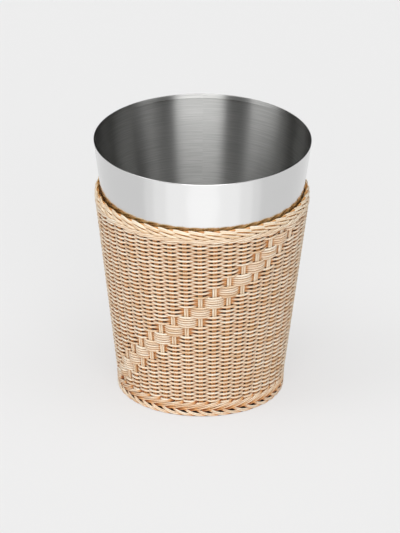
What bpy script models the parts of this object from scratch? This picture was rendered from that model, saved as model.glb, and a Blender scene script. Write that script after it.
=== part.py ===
"""Wastebasket: a tapered sheet-steel liner standing in a sleeve woven from round cane.

Units are metres, +Z is up and the front is -Y. Every object in the collection "wastebasket"
is one physical piece, or one pair of canes that lie side by side.
"""

from math import acos, atan, cos, pi, radians, sin

import bmesh
import bpy
from mathutils import Matrix, Vector

MM = 0.001

# Overall size
HEIGHT = 320 * MM
RIM_RADIUS = 130 * MM
GAP = 0.3 * MM

# Woven sleeve: the outer radius grows evenly with height
SLEEVE_FOOT_RADIUS = 97.9 * MM
SLEEVE_SLOPE = 0.124
WALL_THICKNESS = 7.5 * MM
WEAVE_BOTTOM = 18.5 * MM
WEAVE_TOP = 240.1 * MM
WALE_TOP = 246.0 * MM
BORDER_TOP = 258.9 * MM

# Stakes: pairs of upright canes inside the wall
STAKE_PAIRS = 42
STAKE_PITCH = 2 * pi / STAKE_PAIRS
CANE_RADIUS = 1.45 * MM
CANE_SPACING = 2.85 * MM
CHANNEL_RADIUS = CANE_RADIUS + 0.5 * MM
STAKE_DEPTH = 3.95 * MM
STAKE_BOTTOM = 9.6 * MM
STAKE_TOP = 251.2 * MM
LEAN_PER_METRE = radians(-7.0)
LEAN_HEIGHT = 240 * MM
LEAN_START = radians(-1.1)

# Diagonal stripe: one raised block per stake pair, with bare stakes on both sides
STRIPE_HEIGHT = 144.6 * MM
STRIPE_RISE = 13.87 * MM
STRIPE_FIRST = -9
STRIPE_LAST = 6
WINDOW_WIDTH = 8.6 * MM
WINDOW_HEIGHT = 12.4 * MM
BLOCK_HEIGHT = 13.2 * MM
BLOCK_RELIEF = 1.0 * MM

# Base
PAD_RADIUS = 97.8 * MM
PAD_THICKNESS = 1.5 * MM
BOARD_RADIUS = 91.5 * MM
BOARD_TOP = 9.0 * MM

# Steel liner
SHEET = 1.0 * MM
LINER_SLOPE = 0.135
LINER_BOTTOM = 9.3 * MM
HEM_HEIGHT = 5.0 * MM
FLOOR_HEIGHT = 13.3 * MM

TURN_STEPS = 72


def sleeve_radius(height):
    return SLEEVE_FOOT_RADIUS + SLEEVE_SLOPE * height


def liner_radius(height):
    return RIM_RADIUS - LINER_SLOPE * (HEIGHT - height)


def stake_angle(column, height):
    """Angle from the front, positive to the viewer's right. The stakes lean slightly."""
    return column * STAKE_PITCH + LEAN_START + LEAN_PER_METRE * (height - LEAN_HEIGHT)


def on_circle(radius, angle, height):
    return Vector((radius * sin(angle), -radius * cos(angle), height))


def clear_scene():
    for obj in list(bpy.data.objects):
        bpy.data.objects.remove(obj, do_unlink=True)


def new_collection(name):
    made = bpy.data.collections.new(name)
    bpy.context.scene.collection.children.link(made)
    return made


def new_material(name, colour, roughness, metallic=0.0):
    made = bpy.data.materials.new(name)
    made.use_nodes = True
    shader = made.node_tree.nodes["Principled BSDF"]
    shader.inputs["Base Color"].default_value = (*colour, 1.0)
    shader.inputs["Roughness"].default_value = roughness
    shader.inputs["Metallic"].default_value = metallic
    made.diffuse_color = (*colour, 1.0)
    return made


def add_object(name, mesh, collection, material=None):
    obj = bpy.data.objects.new(name, mesh)
    collection.objects.link(obj)
    if material is not None:
        mesh.materials.append(material)
    return obj


def add_cutter(name, mesh):
    obj = add_object(name, mesh, cutters)
    obj.display_type = "WIRE"
    obj.hide_render = True
    return obj


def lathe(name, profile, collection, material, closed=True):
    """Turns a (radius, height) profile about Z. It runs down the outer side first."""
    mesh = bpy.data.meshes.new(name)
    points = [(radius, 0.0, height) for radius, height in profile]
    edges = [(i, i + 1) for i in range(len(points) - 1)]
    if closed:
        edges.append((len(points) - 1, 0))
    mesh.from_pydata(points, edges, [])
    obj = add_object(name, mesh, collection, material)
    screw = obj.modifiers.new("Turn", "SCREW")
    screw.axis = "Z"
    screw.steps = TURN_STEPS
    screw.render_steps = TURN_STEPS
    screw.use_merge_vertices = True
    screw.merge_threshold = 0.00005
    screw.use_smooth_shade = True
    return obj


def boolean(obj, other, operation):
    cut = obj.modifiers.new(other.name, "BOOLEAN")
    cut.operation = operation
    cut.solver = "EXACT"
    cut.object = other


def pair_outline(radius, points_per_side):
    """Outline of two round canes side by side, as one closed loop."""
    half = CANE_SPACING / 2
    neck = acos(half / radius)
    sweep = 2 * (pi - neck)
    outline = []
    for side in (1, -1):
        start = -(pi - neck) if side > 0 else neck
        for i in range(points_per_side):
            angle = start + sweep * i / points_per_side
            outline.append((side * half + radius * cos(angle), radius * sin(angle)))
    return outline


def add_stake_shape(bm, column, radius, bottom, top, points_per_side):
    """Sweeps the pair outline straight from the foot of one stake pair to its top."""
    low_angle = stake_angle(column, bottom)
    high_angle = stake_angle(column, top)
    low = on_circle(sleeve_radius(bottom) - STAKE_DEPTH, low_angle, bottom)
    high = on_circle(sleeve_radius(top) - STAKE_DEPTH, high_angle, top)
    turn = Matrix.Rotation((low_angle + high_angle) / 2, 3, "Z")
    corners = []
    for across, inward in pair_outline(radius, points_per_side):
        corners.append(bm.verts.new(low + turn @ Vector((across, inward, 0.0))))
    face = bm.faces.new(corners)
    made = bmesh.ops.extrude_face_region(bm, geom=[face])["geom"]
    raised = [item for item in made if isinstance(item, bmesh.types.BMVert)]
    bmesh.ops.translate(bm, verts=raised, vec=high - low)


def mesh_from(bm, name, smooth=False):
    bmesh.ops.recalc_face_normals(bm, faces=bm.faces)
    mesh = bpy.data.meshes.new(name)
    bm.to_mesh(mesh)
    bm.free()
    if smooth:
        mesh.shade_smooth()
    return mesh


def wall_frame(column, height, depth):
    """Frame on the sleeve's surface: X runs round it, Y points inwards and Z along the wall."""
    angle = stake_angle(column, height)
    place = on_circle(sleeve_radius(height) - depth, angle, height)
    tilt = Matrix.Rotation(atan(SLEEVE_SLOPE), 4, "X")
    return Matrix.Translation(place) @ Matrix.Rotation(angle, 4, "Z") @ tilt


def add_box(bm, size, frame):
    scale = Matrix.Diagonal((*size, 1.0))
    bmesh.ops.create_cube(bm, size=1.0, matrix=frame @ scale)


clear_scene()
parts = new_collection("wastebasket")
cutters = new_collection("cutters")
cutters.hide_render = True

cane = new_material("cane", (0.72, 0.52, 0.32), 0.55)
steel = new_material("steel", (0.62, 0.62, 0.61), 0.28, metallic=1.0)
board = new_material("plywood", (0.62, 0.45, 0.27), 0.6)
pad = new_material("pad", (0.05, 0.06, 0.075), 0.85)

# Base: a dark pad under a plywood board
lathe(
    "base_pad",
    [
        (0.0, PAD_THICKNESS),
        (PAD_RADIUS - 0.3 * MM, PAD_THICKNESS),
        (PAD_RADIUS, PAD_THICKNESS - 0.3 * MM),
        (PAD_RADIUS, 0.3 * MM),
        (PAD_RADIUS - 0.3 * MM, 0.0),
        (0.0, 0.0),
    ],
    parts,
    pad,
    closed=False,
)
lathe(
    "base_board",
    [
        (0.0, BOARD_TOP),
        (BOARD_RADIUS - 0.8 * MM, BOARD_TOP),
        (BOARD_RADIUS, BOARD_TOP - 0.8 * MM),
        (BOARD_RADIUS, PAD_THICKNESS + GAP),
        (0.0, PAD_THICKNESS + GAP),
    ],
    parts,
    board,
    closed=False,
)

# Foot border: the stakes' lower ends sit in the groove in its top
foot_low = PAD_THICKNESS + GAP
foot_high = WEAVE_BOTTOM - GAP
groove_half = CANE_RADIUS + 0.45 * MM
foot_groove = sleeve_radius(foot_high) - STAKE_DEPTH
foot_groove_floor = sleeve_radius(STAKE_BOTTOM) - STAKE_DEPTH
foot_inner = BOARD_RADIUS + GAP
lathe(
    "foot_border",
    [
        (100.2 * MM, foot_high),
        (99.9 * MM, 12.5 * MM),
        (99.6 * MM, 6.0 * MM),
        (99.2 * MM, foot_low + 1.0 * MM),
        (98.4 * MM, foot_low),
        (foot_inner, foot_low),
        (foot_inner, foot_high),
        (foot_groove - groove_half, foot_high),
        (foot_groove_floor - groove_half, STAKE_BOTTOM - GAP),
        (foot_groove_floor + groove_half, STAKE_BOTTOM - GAP),
        (foot_groove + groove_half, foot_high),
    ],
    parts,
    cane,
)

# Woven wall and the wale above it, both pierced by the stakes
weave = lathe(
    "weave_wall",
    [
        (sleeve_radius(WEAVE_TOP), WEAVE_TOP),
        (sleeve_radius(WEAVE_BOTTOM), WEAVE_BOTTOM),
        (sleeve_radius(WEAVE_BOTTOM) - WALL_THICKNESS, WEAVE_BOTTOM),
        (sleeve_radius(WEAVE_TOP) - WALL_THICKNESS, WEAVE_TOP),
    ],
    parts,
    cane,
)
wale_low = WEAVE_TOP + GAP
wale_inner = WALL_THICKNESS - 0.3 * MM
wale = lathe(
    "top_wale",
    [
        (sleeve_radius(WALE_TOP) + 0.5 * MM, WALE_TOP),
        (sleeve_radius(WALE_TOP) + 1.3 * MM, WALE_TOP - 1.4 * MM),
        (sleeve_radius(WALE_TOP) + 1.2 * MM, wale_low + 1.6 * MM),
        (sleeve_radius(wale_low) + 0.4 * MM, wale_low),
        (sleeve_radius(wale_low) - wale_inner, wale_low),
        (sleeve_radius(WALE_TOP) - wale_inner, WALE_TOP),
    ],
    parts,
    cane,
)

# Top border: it caps the stakes
border_low = WALE_TOP + GAP
border_groove = sleeve_radius(border_low) - STAKE_DEPTH
border_groove_top = sleeve_radius(STAKE_TOP) - STAKE_DEPTH
border_inner = liner_radius(border_low) + 0.8 * MM
lathe(
    "top_border",
    [
        (124.4 * MM, BORDER_TOP),
        (127.6 * MM, BORDER_TOP),
        (129.2 * MM, BORDER_TOP - 1.6 * MM),
        (129.8 * MM, BORDER_TOP - 5.0 * MM),
        (129.8 * MM, border_low + 2.0 * MM),
        (129.2 * MM, border_low),
        (border_groove + groove_half, border_low),
        (border_groove_top + groove_half, STAKE_TOP + GAP),
        (border_groove_top - groove_half, STAKE_TOP + GAP),
        (border_groove - groove_half, border_low),
        (border_inner, border_low),
        (122.8 * MM, BORDER_TOP - 1.6 * MM),
    ],
    parts,
    cane,
)

# Stake pairs, and the channels that they run in
channels_bm = bmesh.new()
for number in range(STAKE_PAIRS):
    column = number - STAKE_PAIRS // 2 + 1
    bm = bmesh.new()
    add_stake_shape(bm, column, CANE_RADIUS, STAKE_BOTTOM, STAKE_TOP, 6)
    name = f"stake_pair_{number + 1:02d}"
    add_object(name, mesh_from(bm, name), parts, cane)
    channel_low = WEAVE_BOTTOM - 5 * MM
    channel_high = WALE_TOP + 5 * MM
    add_stake_shape(channels_bm, column, CHANNEL_RADIUS, channel_low, channel_high, 4)
channels = add_cutter("stake_channels", mesh_from(channels_bm, "stake_channels"))

# Diagonal stripe: raised blocks, and windows that show the bare stakes beside them
blocks_bm = bmesh.new()
windows_bm = bmesh.new()
for step in range(STRIPE_FIRST, STRIPE_LAST + 1):
    height = STRIPE_HEIGHT + STRIPE_RISE * step
    column_width = sleeve_radius(height) * STAKE_PITCH
    block_width = 2 * (column_width - WINDOW_WIDTH / 2 - 1.0 * MM)
    if height - BLOCK_HEIGHT / 2 > WEAVE_BOTTOM + 1 * MM:
        block_frame = wall_frame(step, height, 0.4 * MM)
        block_size = (block_width, 2 * (BLOCK_RELIEF + 0.4 * MM), BLOCK_HEIGHT)
        add_box(blocks_bm, block_size, block_frame)
    for beside in (step - 1, step + 1):
        window_frame = wall_frame(beside, height, 1.0 * MM)
        window_size = (WINDOW_WIDTH, 2 * (STAKE_DEPTH - 0.6 * MM), WINDOW_HEIGHT)
        add_box(windows_bm, window_size, window_frame)
blocks = add_cutter("stripe_blocks", mesh_from(blocks_bm, "stripe_blocks"))
rounding = blocks.modifiers.new("Round edges", "BEVEL")
rounding.width = 0.9 * MM
rounding.segments = 1
windows = add_cutter("stripe_windows", mesh_from(windows_bm, "stripe_windows"))

boolean(weave, blocks, "UNION")
boolean(weave, windows, "DIFFERENCE")
boolean(weave, channels, "DIFFERENCE")
boolean(wale, channels, "DIFFERENCE")

# Steel liner: rolled wall with a hemmed rim, and a floor pressed up into it
hem_low = HEIGHT - HEM_HEIGHT
lathe(
    "liner_wall",
    [
        (RIM_RADIUS - 1.2 * MM, HEIGHT),
        (RIM_RADIUS - 0.5 * MM, HEIGHT),
        (RIM_RADIUS, HEIGHT - 0.6 * MM),
        (liner_radius(LINER_BOTTOM), LINER_BOTTOM),
        (liner_radius(LINER_BOTTOM) - SHEET, LINER_BOTTOM),
        (liner_radius(hem_low) - SHEET, hem_low),
        (liner_radius(hem_low) - 1.9 * MM, hem_low + 0.5 * MM),
        (RIM_RADIUS - 1.9 * MM, HEIGHT - 0.6 * MM),
    ],
    parts,
    steel,
)
floor_low = LINER_BOTTOM + GAP
flange_radius = liner_radius(floor_low) - SHEET - GAP
lathe(
    "liner_floor",
    [
        (0.0, FLOOR_HEIGHT),
        (flange_radius - 1.0 * MM, FLOOR_HEIGHT),
        (flange_radius, FLOOR_HEIGHT - 1.0 * MM),
        (flange_radius, floor_low),
        (flange_radius - SHEET, floor_low),
        (flange_radius - SHEET - 0.6 * MM, FLOOR_HEIGHT - SHEET),
        (0.0, FLOOR_HEIGHT - SHEET),
    ],
    parts,
    steel,
    closed=False,
)
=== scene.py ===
"""Looks for the wastebasket: woven cane geometry, brushed steel and soft studio light."""

from math import cos, pi, radians, sin

import bpy
import numpy as np
from mathutils import Matrix, Vector


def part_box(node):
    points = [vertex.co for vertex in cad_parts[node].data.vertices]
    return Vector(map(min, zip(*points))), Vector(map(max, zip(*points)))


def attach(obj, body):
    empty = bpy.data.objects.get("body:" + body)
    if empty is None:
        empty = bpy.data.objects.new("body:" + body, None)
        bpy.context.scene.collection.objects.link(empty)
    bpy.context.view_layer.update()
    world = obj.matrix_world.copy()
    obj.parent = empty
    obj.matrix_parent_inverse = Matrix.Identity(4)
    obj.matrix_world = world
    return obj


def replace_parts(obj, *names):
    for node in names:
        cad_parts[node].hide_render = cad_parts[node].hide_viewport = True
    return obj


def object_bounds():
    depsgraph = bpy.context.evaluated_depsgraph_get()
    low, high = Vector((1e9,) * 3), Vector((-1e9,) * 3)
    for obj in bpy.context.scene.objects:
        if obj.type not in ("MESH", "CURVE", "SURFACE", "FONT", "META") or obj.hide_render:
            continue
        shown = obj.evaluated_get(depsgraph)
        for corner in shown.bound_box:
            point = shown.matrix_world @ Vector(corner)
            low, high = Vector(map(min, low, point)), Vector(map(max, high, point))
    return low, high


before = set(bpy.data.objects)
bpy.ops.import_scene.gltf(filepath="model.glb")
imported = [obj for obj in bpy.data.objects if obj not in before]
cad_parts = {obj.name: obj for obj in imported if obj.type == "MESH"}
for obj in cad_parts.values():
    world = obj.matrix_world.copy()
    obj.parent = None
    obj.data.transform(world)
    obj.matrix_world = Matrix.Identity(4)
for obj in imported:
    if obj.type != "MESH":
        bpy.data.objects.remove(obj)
cad_low, cad_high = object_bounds()

MM = 0.001
rng = np.random.default_rng(7)

# Sizes shared with the CAD model
HEIGHT = cad_high.z
RIM_RADIUS = cad_high.x
SLEEVE_FOOT_RADIUS = 97.9 * MM
SLEEVE_SLOPE = 0.124
LINER_SLOPE = 0.135
COLUMNS = 42
PITCH = 2 * pi / COLUMNS
STAKE_DEPTH = 3.95 * MM
STAKE_RADIUS = 1.45 * MM
STAKE_SPACING = 2.85 * MM
WEAVE_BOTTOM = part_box("weave_wall")[0].z
WEAVE_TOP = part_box("weave_wall")[1].z
LEAN_START = radians(-1.1)
LEAN_PER_METRE = radians(-7.0)
LEAN_HEIGHT = 240 * MM

# Weave: ten weavers climb together, so the rows rise slightly to the right
WEAVERS = 10
ROW = 2.648 * MM
ROW_RISE = WEAVERS * ROW / COLUMNS
WEAVER_RADIUS = 1.45 * MM
SWING = 2.4 * MM
WANDER = 0.10 * MM
OVERRUN_BELOW = 2.5 * MM
OVERRUN_ABOVE = 2.0 * MM

# Between two columns a weaver has a point at each of these shares of the way. It lies flat on
# the stakes for the first and last SPAN_FLAT of the way, and crosses the wall in between.
SPAN_STEPS = np.array([0.0, 0.2, 0.35, 0.5, 0.65, 0.8])
SPAN_FLAT = 0.17

# Diagonal stripe: five weavers in one bundle, one column to the right for each bundle
BUNDLE = 5
STRIPE_HEIGHT = 144.6 * MM
STRIPE_FIRST = -10
STRIPE_LAST = 7
BUNDLE_SPREAD = 0.5 * MM
BUNDLE_BULGE = 0.5 * MM
BUNDLE_ROUNDNESS = 3.2
BUNDLE_FADE = 0.6

# Stakes
STAKE_LOW = 12 * MM
STAKE_HIGH = 248 * MM
STAKE_POINTS = 60
POINTS_PER_BEND = 12

# How uneven the canes of a pair are, in mm and as a share of their thickness
PAIR_JITTER = 0.12
THICKNESS_JITTER = 0.02

# How deep the canes that lie behind others count as being, from 0 to 1, which sets the shade painted
# on them
BACK_DEPTH = 0.8


def sleeve_radius(height):
    return SLEEVE_FOOT_RADIUS + SLEEVE_SLOPE * height


def liner_radius(height):
    return RIM_RADIUS - LINER_SLOPE * (HEIGHT - height)


def column_angle(column, height):
    """Angle from the front of a place counted in stake columns, positive to the right."""
    return column * PITCH + LEAN_START + LEAN_PER_METRE * (height - LEAN_HEIGHT)


def place(radius, column, height):
    angle = column_angle(column, height)
    return np.stack([radius * np.sin(angle), -radius * np.cos(angle), height], axis=-1)


def smooth_step(x):
    x = np.clip(x, 0.0, 1.0)
    return x * x * (3.0 - 2.0 * x)


# ---------------------------------------------------------------- canes


class CaneMesh:
    """Gathers round canes into one mesh, with lengthwise UVs and a tone for each cane."""

    sides = 8

    def __init__(self):
        self.points = []
        self.quads = []
        self.caps = []
        self.uvs = []
        self.tones = []
        self.depths = []
        self.count = 0

    def add(self, path, radius, depth=0.0):
        """depth is 0 at the face of the weave and 1 at its back, one number or one for each point."""
        total = len(path)
        tangent = np.gradient(path, axis=0)
        tangent /= np.linalg.norm(tangent, axis=1, keepdims=True)
        outward = path * np.array([1.0, 1.0, 0.0])
        outward -= tangent * np.sum(outward * tangent, axis=1, keepdims=True)
        outward /= np.linalg.norm(outward, axis=1, keepdims=True)
        across = np.cross(tangent, outward)
        turn = 2 * pi * np.arange(self.sides) / self.sides
        ring = np.cos(turn)[:, None] * outward[:, None] + np.sin(turn)[:, None] * across[:, None]
        thickness = np.broadcast_to(radius, total)[:, None, None]
        self.points.append((path[:, None] + thickness * ring).reshape(-1, 3))

        index = self.count + np.arange(total * self.sides).reshape(total, self.sides)
        beside = np.roll(index, -1, axis=1)
        quads = np.stack([index[:-1], beside[:-1], beside[1:], index[1:]], axis=-1)
        self.quads.append(quads.reshape(-1, 4))
        self.caps.append(np.stack([index[0, ::-1], index[-1]]))

        step = np.linalg.norm(np.diff(path, axis=0), axis=1)
        length = rng.uniform(0, 20) + np.concatenate([[0.0], np.cumsum(step)])
        side = np.arange(self.sides + 1) / self.sides
        u, v = np.meshgrid(length, side, indexing="ij")
        grid = np.stack([u, v], axis=-1)
        corners = [grid[:-1, :-1], grid[:-1, 1:], grid[1:, 1:], grid[1:, :-1]]
        self.uvs.append(np.stack(corners, axis=2).reshape(-1, 2))
        self.tones.append(np.full(total * self.sides, rng.normal()))
        # The depth attribute sets how much shade the cane material paints on
        self.depths.append(np.repeat(np.broadcast_to(depth, total), self.sides))
        self.count += total * self.sides

    def build(self, name, material):
        quads = np.concatenate(self.quads)
        caps = np.concatenate(self.caps)
        loops = np.concatenate([quads.ravel(), caps.ravel()])
        cap_starts = 4 * len(quads) + self.sides * np.arange(len(caps))
        starts = np.concatenate([4 * np.arange(len(quads)), cap_starts])
        mesh = bpy.data.meshes.new(name)
        mesh.vertices.add(self.count)
        mesh.vertices.foreach_set("co", np.concatenate(self.points).astype(np.float32).ravel())
        mesh.loops.add(len(loops))
        mesh.loops.foreach_set("vertex_index", loops.astype(np.int32))
        mesh.polygons.add(len(starts))
        mesh.polygons.foreach_set("loop_start", starts.astype(np.int32))
        mesh.update(calc_edges=True)
        uv = np.zeros((len(loops), 2), np.float32)
        uv[: 4 * len(quads)] = np.concatenate(self.uvs)
        mesh.uv_layers.new(name="cane").data.foreach_set("uv", uv.ravel())
        for label, values in (("tone", self.tones), ("depth", self.depths)):
            attribute = mesh.attributes.new(label, "FLOAT", "POINT")
            attribute.data.foreach_set("value", np.concatenate(values).astype(np.float32))
        mesh.shade_smooth()
        mesh.materials.append(material)
        obj = bpy.data.objects.new(name, mesh)
        bpy.context.scene.collection.objects.link(obj)
        return obj


def spline(keys, per_span=5):
    """Catmull-Rom curve through rows of numbers."""
    keys = np.asarray(keys, float)
    padded = np.vstack([2 * keys[0] - keys[1], keys, 2 * keys[-1] - keys[-2]])
    t = np.arange(per_span)[:, None] / per_span
    spans = []
    for a, b, c, d in zip(padded, padded[1:], padded[2:], padded[3:]):
        bend = 2 * a - 5 * b + 4 * c - d + (3 * b - a - 3 * c + d) * t
        spans.append(0.5 * (2 * b + ((c - a) + bend * t) * t))
    return np.vstack([*spans, keys[-1:]])


def in_stripe(bundle):
    return STRIPE_FIRST <= bundle <= STRIPE_LAST


def in_front(strand, column):
    """Whether a weaver passes outside the stakes of a column."""
    bundle = round(strand / BUNDLE)
    if in_stripe(bundle) and abs(column - bundle) <= 1:
        return column == bundle
    return (strand + column) % 2 == 0


def weaver_path(first_strand):
    """One long weaver, from the foot of the wall to its top, and how deep it lies at each point."""
    half = COLUMNS // 2
    stops = np.arange(-half, half + 1)
    blend = smooth_step((SPAN_STEPS - SPAN_FLAT) / (1.0 - 2.0 * SPAN_FLAT))
    radius, column, height, depth = [], [], [], []
    low = int((WEAVE_BOTTOM - STRIPE_HEIGHT) / ROW) // WEAVERS - 1
    high = int((WEAVE_TOP - STRIPE_HEIGHT) / ROW) // WEAVERS + 1
    for turn in range(low, high + 1):
        strand = first_strand + WEAVERS * turn
        swing = np.array([SWING if in_front(strand, c) else -SWING for c in stops])
        bundle = round(strand / BUNDLE)
        place_in_bundle = strand - BUNDLE * bundle
        wander = rng.normal(0.0, WANDER, len(stops))
        for i, stop in enumerate(stops[:-1]):
            u = stop + SPAN_STEPS
            out = swing[i] + (swing[i + 1] - swing[i]) * blend
            z = STRIPE_HEIGHT + ROW * strand + ROW_RISE * u
            z = z + wander[i] + (wander[i + 1] - wander[i]) * blend
            away = np.abs(u - bundle)
            if in_stripe(bundle):
                near = smooth_step((1.0 - away) / BUNDLE_FADE)
                z = z + near * BUNDLE_SPREAD * place_in_bundle
                edge = 1.0 - (place_in_bundle / BUNDLE_ROUNDNESS) ** 2
                out = out + near * BUNDLE_BULGE * edge
            shade = np.clip(0.5 - 0.5 * out / SWING, 0.0, 1.0)
            if in_stripe(bundle):
                # More light reaches the canes beside a window
                shade = shade * (1.0 - 0.2 * smooth_step((1.7 - away) / 0.4))
            column.append(u)
            height.append(z)
            radius.append(sleeve_radius(z) - STAKE_DEPTH + out)
            depth.append(shade)
    column, height, radius, depth = map(np.concatenate, (column, height, radius, depth))
    keep = (height > WEAVE_BOTTOM - OVERRUN_BELOW) & (height < WEAVE_TOP + OVERRUN_ABOVE)
    return place(radius, column, height)[keep], depth[keep]


def stake_depth(column, height):
    """Stakes lie in shade behind the weavers, except in the windows each side of a stripe block."""
    shade = np.ones_like(height)
    for bundle in (column - 1, column + 1):
        if in_stripe(bundle):
            middle = STRIPE_HEIGHT + ROW * BUNDLE * bundle + ROW_RISE * column
            shade *= smooth_step((np.abs(height - middle) / MM - 5.0) / 2.5)
    return BACK_DEPTH * shade


def add_pair(canes, keys, cane_radius, half_spacing, column, lift, depth, deepening):
    """Two canes side by side. keys are (column, height in mm, radius in mm, spread) rows.

    lift moves the upper cane inwards as it moves up. depth is that of the outermost point, and
    deepening is what each millimetre further in adds to it.
    """
    turns, high, reach, spread = spline(keys).T
    slope = np.gradient(high) / (np.gradient(turns) * RIM_RADIUS * PITCH / MM)
    # depth and deepening set the painted shade, so the tucked-in ends come out darker
    shade = depth + deepening * (reach.max() - reach)
    for side in (-1, 1):
        raised, pushed = rng.normal(0.0, PAIR_JITTER, 2)
        apart = side * half_spacing * spread
        z = (high + apart * np.cos(np.arctan(slope)) + raised) * MM
        r = (reach - apart * lift + 0.7 * pushed) * MM
        thickness = cane_radius * (1 + THICKNESS_JITTER * rng.normal())
        canes.add(place(r, turns + column, z), thickness, shade)


# ---------------------------------------------------------------- materials


def new_material(name):
    material = bpy.data.materials.new(name)
    material.use_nodes = True
    tree = material.node_tree
    return material, tree, tree.nodes["Principled BSDF"]


def node(tree, kind, **settings):
    made = tree.nodes.new(kind)
    for key, value in settings.items():
        setattr(made, key, value)
    return made


def noise(tree, vector, scale, detail=3.0, roughness=0.55):
    made = node(tree, "ShaderNodeTexNoise")
    made.inputs["Scale"].default_value = scale
    made.inputs["Detail"].default_value = detail
    made.inputs["Roughness"].default_value = roughness
    tree.links.new(vector, made.inputs["Vector"])
    return made.outputs["Fac"]


def stretched(tree, vector, scale):
    made = node(tree, "ShaderNodeMapping")
    made.inputs["Scale"].default_value = scale
    tree.links.new(vector, made.inputs["Vector"])
    return made.outputs["Vector"]


def ramp(tree, value, stops):
    made = node(tree, "ShaderNodeValToRGB")
    band = made.color_ramp
    while len(band.elements) < len(stops):
        band.elements.new(0.5)
    for element, (position, colour) in zip(band.elements, stops):
        element.position = position
        element.color = (*colour, 1.0)
    tree.links.new(value, made.inputs["Fac"])
    return made.outputs["Color"]


def maths(tree, operation, first, second=0.0):
    made = node(tree, "ShaderNodeMath", operation=operation)
    for socket, value in zip(made.inputs, (first, second)):
        if isinstance(value, (int, float)):
            socket.default_value = value
        else:
            tree.links.new(value, socket)
    return made.outputs["Value"]


def falloff(tree, value, start, end):
    """0 at start and 1 at end, smoothly. start may be above end."""
    made = node(tree, "ShaderNodeMapRange", interpolation_type="SMOOTHSTEP")
    tree.links.new(value, made.inputs["Value"])
    made.inputs["From Min"].default_value = min(start, end)
    made.inputs["From Max"].default_value = max(start, end)
    made.inputs["To Min"].default_value = float(start > end)
    made.inputs["To Max"].default_value = float(start < end)
    return made.outputs["Result"]


def multiply_colours(tree, factor, first, second):
    """first, multiplied by second as far as factor says. Sockets 0, 6 and 7 are the colour ones."""
    made = node(tree, "ShaderNodeMix", data_type="RGBA", blend_type="MULTIPLY")
    if isinstance(factor, float):
        made.inputs[0].default_value = factor
    else:
        tree.links.new(factor, made.inputs[0])
    tree.links.new(first, made.inputs[6])
    tree.links.new(second, made.inputs[7])
    return made.outputs[2]


def bump(tree, height, strength, distance):
    made = node(tree, "ShaderNodeBump")
    made.inputs["Strength"].default_value = strength
    made.inputs["Distance"].default_value = distance
    tree.links.new(height, made.inputs["Height"])
    return made.outputs["Normal"]


def cane_material(name, painted_side_colour, painted_side_reach=1.2):
    """Peeled cane, with shade painted on its outer side where it lies deep, and along its lower side.

    A reach of 3 carries the painted tint round its inner side too.
    """
    material, tree, shader = new_material(name)
    uv = node(tree, "ShaderNodeUVMap", uv_map="cane").outputs["UV"]
    tone = node(tree, "ShaderNodeAttribute", attribute_name="tone").outputs["Fac"]
    depth = node(tree, "ShaderNodeAttribute", attribute_name="depth").outputs["Fac"]
    drift = noise(tree, stretched(tree, uv, (25.0, 0.6, 1.0)), 1.0)
    fibres = noise(tree, stretched(tree, uv, (60.0, 14.0, 1.0)), 1.0, detail=4.0)
    shade = maths(tree, "ADD", maths(tree, "MULTIPLY", tone, 0.07), drift)
    base = ramp(
        tree,
        shade,
        [
            (0.25, (0.63, 0.44, 0.26)),
            (0.45, (0.74, 0.605, 0.45)),
            (0.60, (0.77, 0.68, 0.54)),
            (0.78, (0.79, 0.735, 0.62)),
        ],
    )
    streaks = ramp(tree, fibres, [(0.30, (0.80, 0.68, 0.56)), (0.55, (1.0, 1.0, 1.0))])
    unshaded = multiply_colours(tree, 0.4, base, streaks)
    # Painted shade: browner and darker the deeper the cane lies in the weave, on its outer side only
    painted_shade = ramp(
        tree,
        depth,
        [(0.45, (1.0, 1.0, 1.0)), (0.75, (0.88, 0.55, 0.27)), (1.0, (0.45, 0.18, 0.055))],
    )
    split = node(tree, "ShaderNodeSeparateXYZ")
    tree.links.new(uv, split.inputs["Vector"])
    outward = maths(tree, "COSINE", maths(tree, "MULTIPLY", split.outputs["Y"], 2 * pi))
    outer_side = maths(tree, "ADD", maths(tree, "MULTIPLY", outward, 2.0), 1.2)
    shaded = multiply_colours(tree, outer_side, unshaded, painted_shade)
    # Painted shade along each cane's lower side, which the light from above leaves darker
    turn = maths(tree, "MULTIPLY", maths(tree, "ADD", split.outputs["Y"], 0.11), 2 * pi)
    facing = maths(tree, "COSINE", turn)
    softened = tuple(channel**0.5 for channel in painted_side_colour)
    painted_side_shading = ramp(
        tree,
        facing,
        [(0.0, painted_side_colour), (0.30, softened), (0.70, (1.0, 1.0, 1.0))],
    )
    painted_side_mask = maths(tree, "ADD", maths(tree, "MULTIPLY", outward, 2.0), painted_side_reach)
    colour = multiply_colours(tree, painted_side_mask, shaded, painted_side_shading)
    tree.links.new(colour, shader.inputs["Base Color"])
    rough = maths(tree, "ADD", maths(tree, "MULTIPLY", fibres, 0.25), 0.36)
    tree.links.new(rough, shader.inputs["Roughness"])
    shader.inputs["Specular IOR Level"].default_value = 0.45
    tree.links.new(bump(tree, fibres, 0.35, 0.25 * MM), shader.inputs["Normal"])
    return material


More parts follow.
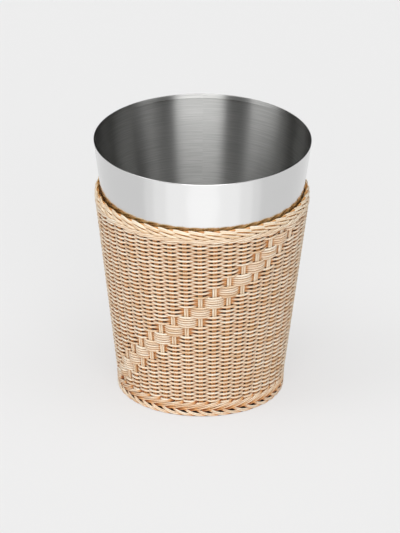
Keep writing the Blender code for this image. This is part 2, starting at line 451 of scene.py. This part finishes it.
def steel_material(name, roughness, anisotropy, line_strength, tint):
    """Steel with fine lines round it. UVs run round the liner and along its profile, in metres."""
    material, tree, shader = new_material(name)
    uv = node(tree, "ShaderNodeUVMap", uv_map="sheet").outputs["UV"]
    lines = noise(tree, stretched(tree, uv, (18.0, 850.0, 1.0)), 1.0, detail=5.0, roughness=0.65)
    cloud = noise(tree, stretched(tree, uv, (9.0, 9.0, 1.0)), 1.0, detail=2.0)
    low = tuple(c * (1.0 - line_strength) for c in tint)
    colour = ramp(tree, lines, [(0.32, low), (0.68, tint)])
    tree.links.new(colour, shader.inputs["Base Color"])
    rough = maths(tree, "ADD", maths(tree, "MULTIPLY", cloud, 0.05), roughness - 0.025)
    tree.links.new(rough, shader.inputs["Roughness"])
    shader.inputs["Metallic"].default_value = 1.0
    shader.inputs["Anisotropic"].default_value = anisotropy
    shader.inputs["Anisotropic Rotation"].default_value = 0.25
    tangent = node(tree, "ShaderNodeTangent", direction_type="RADIAL", axis="Z")
    tree.links.new(tangent.outputs["Tangent"], shader.inputs["Tangent"])
    tree.links.new(bump(tree, lines, 0.10 + line_strength, 0.02 * MM), shader.inputs["Normal"])
    return material


def shaded_plywood_material():
    material, tree, shader = new_material("plywood_painted_shade_look")
    position = node(tree, "ShaderNodeTexCoord").outputs["Object"]
    grain = noise(tree, stretched(tree, position, (30.0, 260.0, 700.0)), 1.0, detail=5.0)
    # Painted shade: the board's grain is near black, as the shade seen through the gaps of the foot
    # border
    colour = ramp(tree, grain, [(0.3, (0.035, 0.020, 0.012)), (0.7, (0.080, 0.048, 0.026))])
    tree.links.new(colour, shader.inputs["Base Color"])
    shader.inputs["Roughness"].default_value = 0.7
    tree.links.new(bump(tree, grain, 0.3, 0.2 * MM), shader.inputs["Normal"])
    return material


def pad_material():
    material, tree, shader = new_material("pad_look")
    position = node(tree, "ShaderNodeTexCoord").outputs["Object"]
    fuzz = noise(tree, position, 1800.0, detail=2.0)
    colour = ramp(tree, fuzz, [(0.3, (0.035, 0.042, 0.052)), (0.7, (0.075, 0.085, 0.10))])
    tree.links.new(colour, shader.inputs["Base Color"])
    shader.inputs["Roughness"].default_value = 0.9
    tree.links.new(bump(tree, fuzz, 0.5, 0.3 * MM), shader.inputs["Normal"])
    return material


# ---------------------------------------------------------------- woven sleeve

# Each look paints its colour on the canes' lower sides as shade, lightest for the stakes
cane = cane_material("cane_look", (0.62, 0.23, 0.07))
# The border's gold also covers the canes' inner sides: painted warm bounce light, which the steel
# beside them reflects
border_cane = cane_material("border_cane_look", (1.0, 0.64, 0.23), painted_side_reach=3.0)
pale_cane = cane_material("pale_cane_look", (0.88, 0.70, 0.55))

for first_strand in range(WEAVERS):
    canes = CaneMesh()
    path, depth = weaver_path(first_strand)
    canes.add(path, WEAVER_RADIUS, depth)
    weaver = canes.build(f"weaver_{first_strand + 1:02d}", cane)
    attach(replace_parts(weaver, "weave_wall"), "sleeve")

for number in range(COLUMNS):
    column = number - COLUMNS // 2 + 1
    canes = CaneMesh()
    z = np.linspace(STAKE_LOW, STAKE_HIGH, STAKE_POINTS)
    bends = z[::POINTS_PER_BEND]
    radius = sleeve_radius(z) - STAKE_DEPTH
    for side in (-1, 1):
        wander = np.interp(z, bends, rng.normal(0.0, WANDER, len(bends)))
        offset = (side * STAKE_SPACING / 2 + wander) / radius / PITCH
        canes.add(place(radius, column + offset, z), STAKE_RADIUS, stake_depth(column, z))
    stake = canes.build(f"stakes_{number + 1:02d}", pale_cane)
    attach(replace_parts(stake, f"stake_pair_{number + 1:02d}"), "sleeve")

# Keys are (columns, height in mm, radius in mm, spread) along one pair, from its left end. The
# radius is that of the pair's middle line, and spread multiplies the distance between its canes.
WALE_KEYS = [
    (-0.40, 242.2, 124.4, 1.0),
    (-0.12, 242.5, 126.4, 1.0),
    (0.20, 243.0, 126.9, 1.0),
    (0.60, 244.0, 126.9, 1.0),
    (1.00, 244.9, 126.4, 1.0),
    (1.30, 245.5, 125.2, 1.0),
    (1.50, 245.8, 124.0, 1.0),
]
LOWER_TURN_KEYS = [
    (-0.80, 250.9, 123.8, 1.0),
    (-0.57, 250.7, 125.2, 1.0),
    (-0.35, 250.3, 126.5, 1.0),
    (0.00, 249.2, 127.3, 1.0),
    (0.25, 248.2, 127.1, 1.0),
    (0.50, 247.2, 126.0, 1.0),
    (0.70, 246.4, 124.4, 1.0),
]
UPPER_TURN_KEYS = [
    (-1.04, 252.6, 123.3, 1.0),
    (-0.85, 254.2, 124.1, 1.0),
    (-0.62, 255.2, 125.1, 1.0),
    (-0.34, 255.1, 126.0, 1.0),
    (0.04, 254.1, 126.8, 0.9),
    (0.25, 253.0, 126.0, 0.8),
    (0.42, 252.1, 124.4, 0.8),
]
INNER_TURN_KEYS = [
    (-1.70, 249.0, 124.4, 1.0),
    (-1.20, 250.2, 124.4, 1.0),
    (-0.60, 251.8, 124.3, 1.0),
    (-0.10, 253.4, 124.2, 1.0),
    (0.30, 254.9, 124.9, 1.0),
]
CORE_KEYS = [
    (-0.55, 245.0, 121.8, 1.0),
    (0.00, 245.1, 121.8, 1.0),
    (0.55, 245.0, 121.8, 1.0),
]
FOOT_RISE_KEYS = [
    (-2.03, 8.2, 95.4, 1.0),
    (-1.90, 8.4, 97.5, 1.0),
    (-1.40, 10.3, 98.6, 1.2),
    (-0.80, 12.7, 99.0, 1.3),
    (-0.10, 15.9, 99.2, 1.0),
    (0.45, 18.1, 98.6, 1.0),
    (0.75, 19.6, 96.8, 1.0),
]
FOOT_ROLL_KEYS = [
    (-1.55, 10.4, 96.2, 1.0),
    (-1.30, 8.7, 97.8, 1.0),
    (-1.05, 6.7, 98.5, 1.0),
    (-0.70, 4.3, 98.6, 1.0),
    (-0.30, 2.7, 98.6, 1.0),
    (0.10, 2.45, 98.3, 1.0),
    (0.40, 2.4, 97.6, 1.0),
    (0.55, 2.4, 96.9, 1.0),
]


def ring_of_pairs(name, node_name, rows, look):
    """Repeats rows at every column: (keys, cane radius, half spacing, lift, depth, deepening)."""
    canes = CaneMesh()
    for column in range(COLUMNS):
        for keys, cane_radius, half_spacing, lift, depth, deepening in rows:
            add_pair(canes, keys, cane_radius * MM, half_spacing, column, lift, depth, deepening)
    ring = canes.build(name, look)
    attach(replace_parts(ring, node_name), "sleeve")


# depth and deepening set the shade painted on each row; BACK_DEPTH paints the rows that lie behind in
# deep shade
wale_rows = [
    (WALE_KEYS, 1.25, 1.05, 0.0, 0.0, 0.0),
    (CORE_KEYS, 1.1, 1.05, 0.0, BACK_DEPTH, 0.0),
]
border_rows = [
    (LOWER_TURN_KEYS, 1.05, 0.45, 0.8, 0.0, 0.0),
    (UPPER_TURN_KEYS, 1.25, 0.9, 0.35, 0.0, 0.0),
    (INNER_TURN_KEYS, 1.3, 1.2, 0.0, BACK_DEPTH, 0.0),
]
foot_rows = [
    (FOOT_RISE_KEYS, 1.05, 1.0, 0.0, 0.48, 0.45),
    (FOOT_ROLL_KEYS, 1.05, 0.9, 0.0, 0.45, 0.45),
]
ring_of_pairs("wale_canes", "top_wale", wale_rows, cane)
ring_of_pairs("border_canes", "top_border", border_rows, border_cane)
ring_of_pairs("foot_canes", "foot_border", foot_rows, cane)

# ---------------------------------------------------------------- steel liner

outside = steel_material("steel_outside", 0.17, 0.2, 0.02, (0.67, 0.67, 0.67))
# The steel behind the weave is rough, and painted near black as the shade seen through the gaps in
# the weave
hidden = steel_material("steel_mill_finish_painted_shade", 0.5, 0.2, 0.10, (0.10, 0.092, 0.085))
inside = steel_material("steel_inside", 0.36, 1.0, 0.30, (0.51, 0.51, 0.50))
LINER_LOOKS = (outside, hidden, inside)
OUTSIDE, HIDDEN, INSIDE = range(3)
SHARP_ANGLE = radians(38)


def sheet_lathe(name, profile, looks, steps=240):
    """Turns (radius, height) rows about Z. looks gives, for each span, its place in LINER_LOOKS."""
    profile = np.asarray(profile)
    angle = 2 * pi * np.arange(steps + 1) / steps
    length = np.concatenate([[0.0], np.cumsum(np.linalg.norm(np.diff(profile, axis=0), axis=1))])
    rows = len(profile)
    points = []
    for radius, height in profile:
        ring = [radius * np.sin(angle[:-1]), radius * np.cos(angle[:-1]), 0 * angle[:-1] + height]
        points.append(np.stack(ring, axis=-1))
    faces, uvs, kinds = [], [], []
    for i in range(rows):
        j = (i + 1) % rows
        for k in range(steps):
            m = (k + 1) % steps
            faces.append((i * steps + k, i * steps + m, j * steps + m, j * steps + k))
            near = [(angle[k + d] * RIM_RADIUS, length[i]) for d in (0, 1)]
            far_length = length[i] + np.linalg.norm(profile[j] - profile[i])
            far = [(angle[k + d] * RIM_RADIUS, far_length) for d in (1, 0)]
            uvs.extend(near + far)
            kinds.append(looks[i])
    mesh = bpy.data.meshes.new(name)
    mesh.from_pydata(np.concatenate(points).tolist(), [], faces)
    mesh.uv_layers.new(name="sheet").data.foreach_set("uv", np.ravel(uvs).astype(np.float32))
    mesh.polygons.foreach_set("material_index", kinds)
    for material in LINER_LOOKS:
        mesh.materials.append(material)
    mesh.shade_smooth()
    mesh.set_sharp_from_angle(angle=SHARP_ANGLE)
    obj = bpy.data.objects.new(name, mesh)
    bpy.context.scene.collection.objects.link(obj)
    return obj


def rounded(centre_r, centre_z, radius, start, end, count):
    """Points on an arc, angles in degrees from +R towards +Z."""
    turn = np.radians(np.linspace(start, end, count))
    return [(centre_r + radius * cos(t), centre_z + radius * sin(t)) for t in turn]


# The sheet is folded over at the rim, so the hem stands a little inside the rest of the wall
LINER_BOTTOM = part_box("liner_wall")[0].z
SHEET = 1.0 * MM
HEM_BOTTOM = HEIGHT - 5.0 * MM
HEM_THICKNESS = 1.75 * MM
LIP = 0.6 * MM
LIP_POINTS = 6
POLISH_END = 244 * MM


def down_the_face(start, end, count):
    return [(liner_radius(z), z) for z in np.linspace(start, end, count)]


lip_centre = (RIM_RADIUS - LIP, HEIGHT - LIP)
polished = down_the_face(HEIGHT - 2.0 * LIP, POLISH_END, 4)
unpolished = down_the_face(POLISH_END, LINER_BOTTOM, 7)[1:]
back_heights = [*np.linspace(LINER_BOTTOM, HEM_BOTTOM - 2.0 * MM, 9), HEM_BOTTOM - 0.6 * MM]
wall_profile = [
    *reversed(rounded(*lip_centre, LIP, 0, 90, LIP_POINTS)),
    *polished,
    *unpolished,
    *[(liner_radius(z) - SHEET, z) for z in back_heights],
    (liner_radius(HEM_BOTTOM) - HEM_THICKNESS, HEM_BOTTOM),
    *reversed(rounded(*lip_centre, LIP, 90, 175, LIP_POINTS - 1)[1:]),
]
outer_spans = LIP_POINTS - 1 + len(polished)
looks = [OUTSIDE] * outer_spans + [HIDDEN] * len(unpolished)
looks += [INSIDE] * (len(wall_profile) - len(looks))
wall = sheet_lathe("liner_sheet", wall_profile, looks)
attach(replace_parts(wall, "liner_wall"), "liner")

carried_over = {
    "liner_floor": inside,
    "base_board": shaded_plywood_material(),
    "base_pad": pad_material(),
}
for name, material in carried_over.items():
    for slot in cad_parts[name].material_slots:
        slot.link = "OBJECT"
        slot.material = material

# ---------------------------------------------------------------- stage


def floor_material():
    """Grey with a glow, which together look pale and keep the shadows faint."""
    material, tree, shader = new_material("floor_look")
    shader.inputs["Base Color"].default_value = (0.21, 0.21, 0.21, 1.0)
    shader.inputs["Emission Color"].default_value = (1.0, 1.0, 1.0, 1.0)
    shader.inputs["Emission Strength"].default_value = 0.60
    shader.inputs["Roughness"].default_value = 0.9
    shader.inputs["Specular IOR Level"].default_value = 0.1
    return material


bpy.ops.mesh.primitive_circle_add(vertices=96, radius=150.0, fill_type="NGON")
floor = bpy.context.object
floor.name = "floor"
floor.data.materials.append(floor_material())

CEILING = 3.15
AMBIENT = 0.03
BACKDROP = 0.85
REAR_DIMMING = 0.75
LOWER_SOFTNESS = 0.05
UPPER_SOFTNESS = 0.08

# Azimuths in degrees from the front, positive to the right, then elevations, strength and softness
SOFTBOXES = [
    (-23, 30, 4, 48, 3.6, 4, 4),
    (-86, -52, 4, 48, 2.3, 12, 1),
    (56, 74, 4, 45, 1.1, 12, 12),
]


def softbox(tree, azimuth, z, left, right, low, high, strength, left_soft, right_soft):
    """A soft-edged patch of the sky, as bright as strength in its middle."""
    low_z = sin(radians(low))
    high_z = sin(radians(high))
    edges = [
        falloff(tree, azimuth, radians(left - left_soft), radians(left + left_soft)),
        falloff(tree, azimuth, radians(right + right_soft), radians(right - right_soft)),
        falloff(tree, z, low_z - LOWER_SOFTNESS, low_z + LOWER_SOFTNESS),
        falloff(tree, z, high_z + UPPER_SOFTNESS, high_z - UPPER_SOFTNESS),
    ]
    light = strength
    for edge in edges:
        light = maths(tree, "MULTIPLY", edge, light)
    return light


def studio_world():
    """A bright ceiling and upright softboxes, all far away. The camera sees a plain backdrop."""
    world = bpy.data.worlds.new("studio")
    world.use_nodes = True
    tree = world.node_tree
    direction = node(tree, "ShaderNodeTexCoord").outputs["Generated"]
    axes = node(tree, "ShaderNodeSeparateXYZ")
    tree.links.new(direction, axes.inputs["Vector"])
    x, y, z = (axes.outputs[k] for k in "XYZ")
    azimuth = maths(tree, "ARCTAN2", x, maths(tree, "MULTIPLY", y, -1.0))
    rear = maths(tree, "MULTIPLY", falloff(tree, y, -0.10, 0.40), REAR_DIMMING)
    overhead = falloff(tree, z, 0.72, 0.94)
    ceiling = maths(tree, "MULTIPLY", overhead, maths(tree, "SUBTRACT", 1.0, rear))
    light = maths(tree, "ADD", maths(tree, "MULTIPLY", ceiling, CEILING), AMBIENT)
    for row in SOFTBOXES:
        light = maths(tree, "ADD", light, softbox(tree, azimuth, z, *row))
    seen = node(tree, "ShaderNodeLightPath").outputs["Is Camera Ray"]
    hidden_light = maths(tree, "MULTIPLY", light, maths(tree, "SUBTRACT", 1.0, seen))
    shown = maths(tree, "ADD", hidden_light, maths(tree, "MULTIPLY", seen, BACKDROP))
    sky = tree.nodes["Background"]
    sky.inputs["Color"].default_value = (1.0, 1.0, 1.0, 1.0)
    tree.links.new(shown, sky.inputs["Strength"])
    return world


bpy.context.scene.world = studio_world()

# Unseen cards of light low in front of the bin. They are stacked, so that together they are
# brightest in the middle.
CARD_RADIANCE = 0.13
CARD_SIZES = [(1.3, 0.66), (0.9, 0.62), (0.62, 0.50), (0.28, 0.28)]
CARD_X = 0.01
CARD_Y = -0.47
CARD_BASE = 0.02
CARD_GAP = 0.01


def front_card(name, width, depth, height):
    """Faces up and brightens only what is polished."""
    light = bpy.data.lights.new(name, "AREA")
    light.shape = "ELLIPSE"
    light.size = width
    light.size_y = depth
    light.energy = CARD_RADIANCE * pi * (pi / 4 * width * depth)
    card = bpy.data.objects.new(name, light)
    bpy.context.scene.collection.objects.link(card)
    card.location = (CARD_X, CARD_Y, height)
    card.rotation_euler = (radians(180), 0.0, 0.0)
    card.visible_camera = False
    card.visible_diffuse = False


for number, (width, depth) in enumerate(CARD_SIZES):
    front_card(f"card_{number + 1}", width, depth, CARD_BASE + CARD_GAP * number)

# ---------------------------------------------------------------- camera

# A long lens far away, in front of the bin and above it
ELEVATION = radians(25.4)
ROLL = radians(0.5)
DISTANCE = 16.0
LENS = 903.4
AIM_POINT = Vector((-0.0018, 0.0, 0.1518))

camera_data = bpy.data.cameras.new("camera")
camera_data.sensor_width = 36.0
camera_data.lens = LENS
camera_data.clip_start = 0.1
camera_data.clip_end = 400.0
camera = bpy.data.objects.new("camera", camera_data)
bpy.context.scene.collection.objects.link(camera)
bpy.context.scene.camera = camera
towards_camera = Vector((0.0, -cos(ELEVATION), sin(ELEVATION)))
camera.location = AIM_POINT + DISTANCE * towards_camera
level_view = (-towards_camera).to_track_quat("-Z", "Y").to_matrix().to_4x4()
camera.rotation_euler = (level_view @ Matrix.Rotation(ROLL, 4, "Z")).to_euler()

bpy.context.scene.view_settings.view_transform = "Standard"
